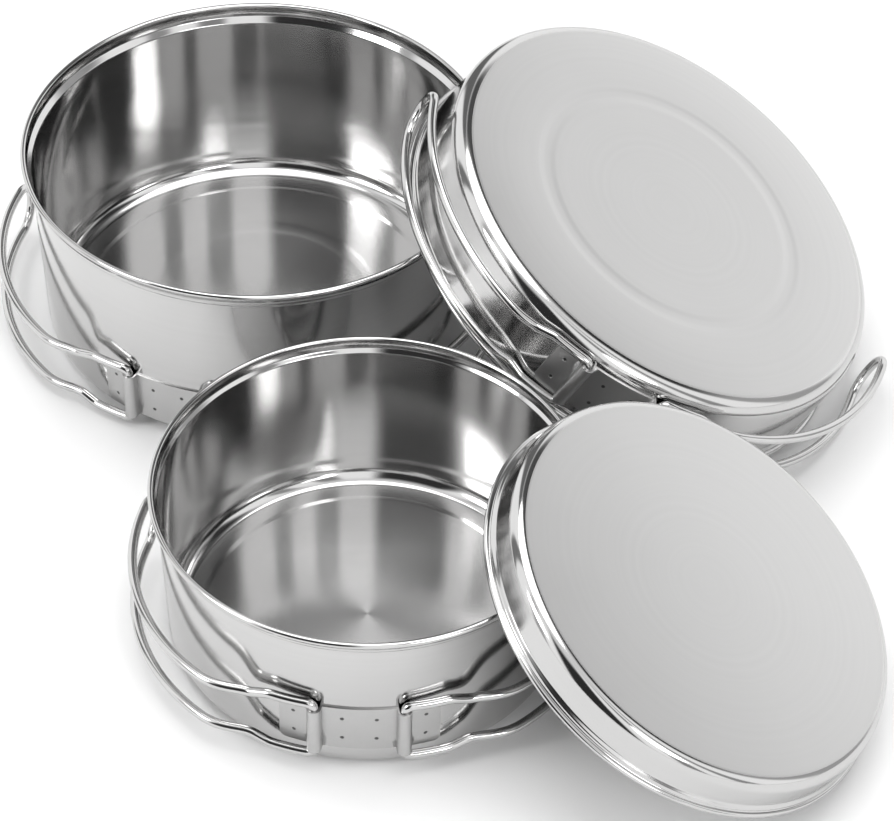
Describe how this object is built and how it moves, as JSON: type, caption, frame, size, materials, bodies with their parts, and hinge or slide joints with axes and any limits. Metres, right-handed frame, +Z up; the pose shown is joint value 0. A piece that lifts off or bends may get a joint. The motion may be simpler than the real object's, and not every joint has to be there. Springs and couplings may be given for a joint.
{
  "type": "camping cook pot set",
  "caption": "Steel camping cook set of nesting pots, frying pan and lid, with folding wire handles in strap brackets; the pan and the lid lean upside down on the pots.",
  "frame": {"origin": "centre of the large pot's base, on the ground", "axes": "+Z up; the small pot stands towards -Y of the large pot, and the frying pan and the lid lean on the pots' +X sides"},
  "size_m": [0.3859, 0.4097, 0.1311],
  "materials": {
    "sheet_steel": "polished stainless sheet, satin bases",
    "strap_steel": "bright pressed stainless strap",
    "wire_steel": "polished stainless wire"
  },
  "bodies": {
    "large_pot": {"large_pot": "sheet_steel", "large_pot_bracket": "strap_steel"},
    "small_pot": {"small_pot": "sheet_steel", "small_pot_bracket": "strap_steel"},
    "frying_pan": {"frying_pan": "sheet_steel", "frying_pan_bracket": "strap_steel"},
    "small_lid": {"small_lid": "sheet_steel"},
    "large_pot_left_handle": {"large_pot_left_handle": "wire_steel"},
    "large_pot_right_handle": {"large_pot_right_handle": "wire_steel"},
    "small_pot_left_handle": {"small_pot_left_handle": "wire_steel"},
    "small_pot_right_handle": {"small_pot_right_handle": "wire_steel"},
    "frying_pan_left_handle": {"frying_pan_left_handle": "wire_steel"},
    "frying_pan_right_handle": {"frying_pan_right_handle": "wire_steel"}
  },
  "joints": [
    {"name": "large_pot_left_handle_hinge", "type": "hinge", "parent": "large_pot", "child": "large_pot_left_handle", "pos_m": [-0.04927, -0.08295, 0.0185], "axis": [0, 0, 1], "range_deg": [-6.5, 128.5]},
    {"name": "large_pot_right_handle_hinge", "type": "hinge", "parent": "large_pot", "child": "large_pot_right_handle", "pos_m": [-0.01724, -0.09493, 0.0185], "axis": [0, 0, -1], "range_deg": [-1, 11]},
    {"name": "small_pot_left_handle_hinge", "type": "hinge", "parent": "small_pot", "child": "small_pot_left_handle", "pos_m": [0.03755, -0.26902, 0.024], "axis": [0, 0, 1], "range_deg": [-1.5, 133.5]},
    {"name": "small_pot_right_handle_hinge", "type": "hinge", "parent": "small_pot", "child": "small_pot_right_handle", "pos_m": [0.07175, -0.26902, 0.024], "axis": [0, 0, -1], "range_deg": [-1.5, 62]},
    {"name": "frying_pan_left_handle_hinge", "type": "hinge", "parent": "frying_pan", "child": "frying_pan_left_handle", "pos_m": [0.13399, -0.12655, 0.07281], "axis": [0.4664, -0.1008, 0.8788], "range_deg": [-0.5, 6]},
    {"name": "frying_pan_right_handle_hinge", "type": "hinge", "parent": "frying_pan", "child": "frying_pan_right_handle", "pos_m": [0.1637, -0.13114, 0.05652], "axis": [-0.4664, 0.1008, -0.8788], "range_deg": [-3.5, 8]},
    {"name": "small_pot_move", "type": "slide", "parent": "large_pot", "child": "small_pot", "axis": [0, -1, 0], "range_m": [0, 0.08]},
    {"name": "frying_pan_lift", "type": "slide", "parent": "large_pot", "child": "frying_pan", "axis": [0, 0, 1], "range_m": [0, 0.06]},
    {"name": "small_lid_lift", "type": "slide", "parent": "small_pot", "child": "small_lid", "axis": [0, -0.5, 0.866], "range_m": [0, 0.06]}
  ]
}
